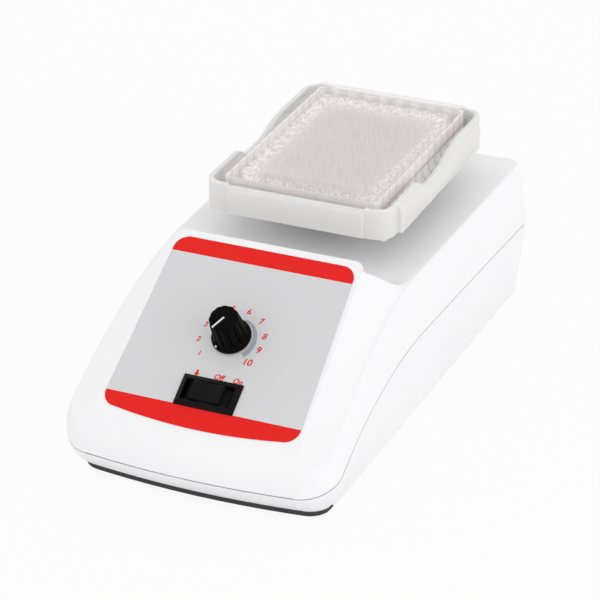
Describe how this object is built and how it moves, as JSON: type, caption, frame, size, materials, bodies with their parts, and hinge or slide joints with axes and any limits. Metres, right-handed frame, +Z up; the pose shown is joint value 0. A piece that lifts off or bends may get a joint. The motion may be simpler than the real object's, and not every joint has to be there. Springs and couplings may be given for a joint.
{
  "type": "vortex mixer",
  "caption": "Benchtop microplate vortex mixer: sloped control panel with speed knob and rocker switch, orbiting tray with lidded 96-well plate.",
  "frame": {"origin": "on the bench below the middle of the housing", "axes": "+Z up, +Y to the back wall with the power inlet, +X to the operator's right; the operator stands on the -Y side"},
  "size_m": [0.1454, 0.282, 0.111],
  "materials": {
    "shell": "fine satin texture",
    "pad": "matt",
    "overlay": "printed film, satin",
    "black": "smooth",
    "grip": "matt",
    "white": "paint fill",
    "steel": "turned or zinc plated",
    "brass": "turned",
    "aluminium": "machined",
    "copper": "varnished windings on laminations",
    "magnet": "sintered",
    "board": "solder mask",
    "chips": "moulded",
    "rubber": "matt",
    "tray": "fine texture",
    "column": "moulded",
    "plate": "clear",
    "lid": "clear"
  },
  "bodies": {
    "housing": {"upper_housing": "shell", "lower_housing": "shell", "base_plate": "steel", "base_pad": "pad", "housing_screws": "steel", "control_overlay": "overlay", "switch_frame": "black", "switch_terminals": "brass", "potentiometer": "chips", "pot_nut": "steel", "control_board": "board", "board_components": "chips", "board_screws": "steel", "power_inlet": "black", "inlet_pins": "steel", "frame_posts": "steel", "isolators": "rubber", "touch_switch": "chips"},
    "speed_knob": {"speed_knob": "grip", "knob_pointer": "white", "pot_shaft": "steel"},
    "rocker": {"rocker": "black"},
    "fuse_drawer": {"fuse_drawer": "black", "fuse": "steel"},
    "carriage": {"carriage_plate": "aluminium", "motor_can": "steel", "motor_endcap": "grip", "motor_magnets": "magnet", "motor_bearing": "brass", "motor_screws": "steel", "idler_bushes": "brass"},
    "rotor": {"motor_shaft": "steel", "armature": "copper", "eccentric_hub": "steel", "counterweight": "brass", "bearing_clip": "steel"},
    "idler_left": {"idler_crank_left": "steel"},
    "idler_right": {"idler_crank_right": "steel"},
    "platform": {"hub_bearing": "steel", "orbit_plate": "aluminium", "pin_bushes": "brass", "platform_column": "column", "tray": "tray", "tray_screws": "steel", "tray_nubs": "rubber"},
    "touch_lever": {"touch_lever": "steel"},
    "microplate": {"microplate": "plate"},
    "plate_lid": {"plate_lid": "lid"}
  },
  "joints": [
    {"name": "knob_turn", "type": "hinge", "parent": "housing", "child": "speed_knob", "pos_m": [0, -0.08552, 0.06401], "axis": [0, 0.5358, -0.8443], "range_deg": [0, 270]},
    {"name": "rocker_swing", "type": "hinge", "parent": "housing", "child": "rocker", "pos_m": [0, -0.11223, 0.04564], "axis": [0, -0.8443, -0.5358], "range_deg": [-10, 10]},
    {"name": "drawer_slide", "type": "slide", "parent": "housing", "child": "fuse_drawer", "axis": [0, 1, 0], "range_m": [0, 0.01]},
    {"name": "touch_press", "type": "slide", "parent": "housing", "child": "carriage", "axis": [0, 0, -1], "range_m": [0, 0.0015], "stiffness_N_per_m": 8000, "springref_m": -0.002, "deforming": ["isolators"]},
    {"name": "lever_swing", "type": "hinge", "parent": "housing", "child": "touch_lever", "pos_m": [-0.0255, 0.084, 0.0425], "axis": [0, 1, 0], "range_deg": [0, 6.01]},
    {"name": "motor_spin", "type": "hinge", "parent": "carriage", "child": "rotor", "pos_m": [0, 0.054, 0], "axis": [0, 0, 1], "continuous": true},
    {"name": "idler_left_spin", "type": "hinge", "parent": "carriage", "child": "idler_left", "pos_m": [-0.034, 0.054, 0], "axis": [0, 0, 1], "continuous": true},
    {"name": "idler_right_spin", "type": "hinge", "parent": "carriage", "child": "idler_right", "pos_m": [0.034, 0.054, 0], "axis": [0, 0, 1], "continuous": true},
    {"name": "platform_orbit", "type": "hinge", "parent": "rotor", "child": "platform", "pos_m": [0.00175, 0.054, 0], "axis": [0, 0, 1], "continuous": true},
    {"name": "plate_lift", "type": "slide", "parent": "platform", "child": "microplate", "axis": [0, 0, 1], "range_m": [0, 0.03]},
    {"name": "lid_lift", "type": "slide", "parent": "microplate", "child": "plate_lid", "axis": [0, 0, 1], "range_m": [0, 0.03]}
  ],
  "couplings": [
    {"joint": "idler_left_spin", "follows": "motor_spin", "ratio": 1},
    {"joint": "idler_right_spin", "follows": "motor_spin", "ratio": 1},
    {"joint": "platform_orbit", "follows": "motor_spin", "ratio": -1},
    {"joint": "lever_swing", "follows": "touch_press", "rad_per_m": 69.813}
  ]
}
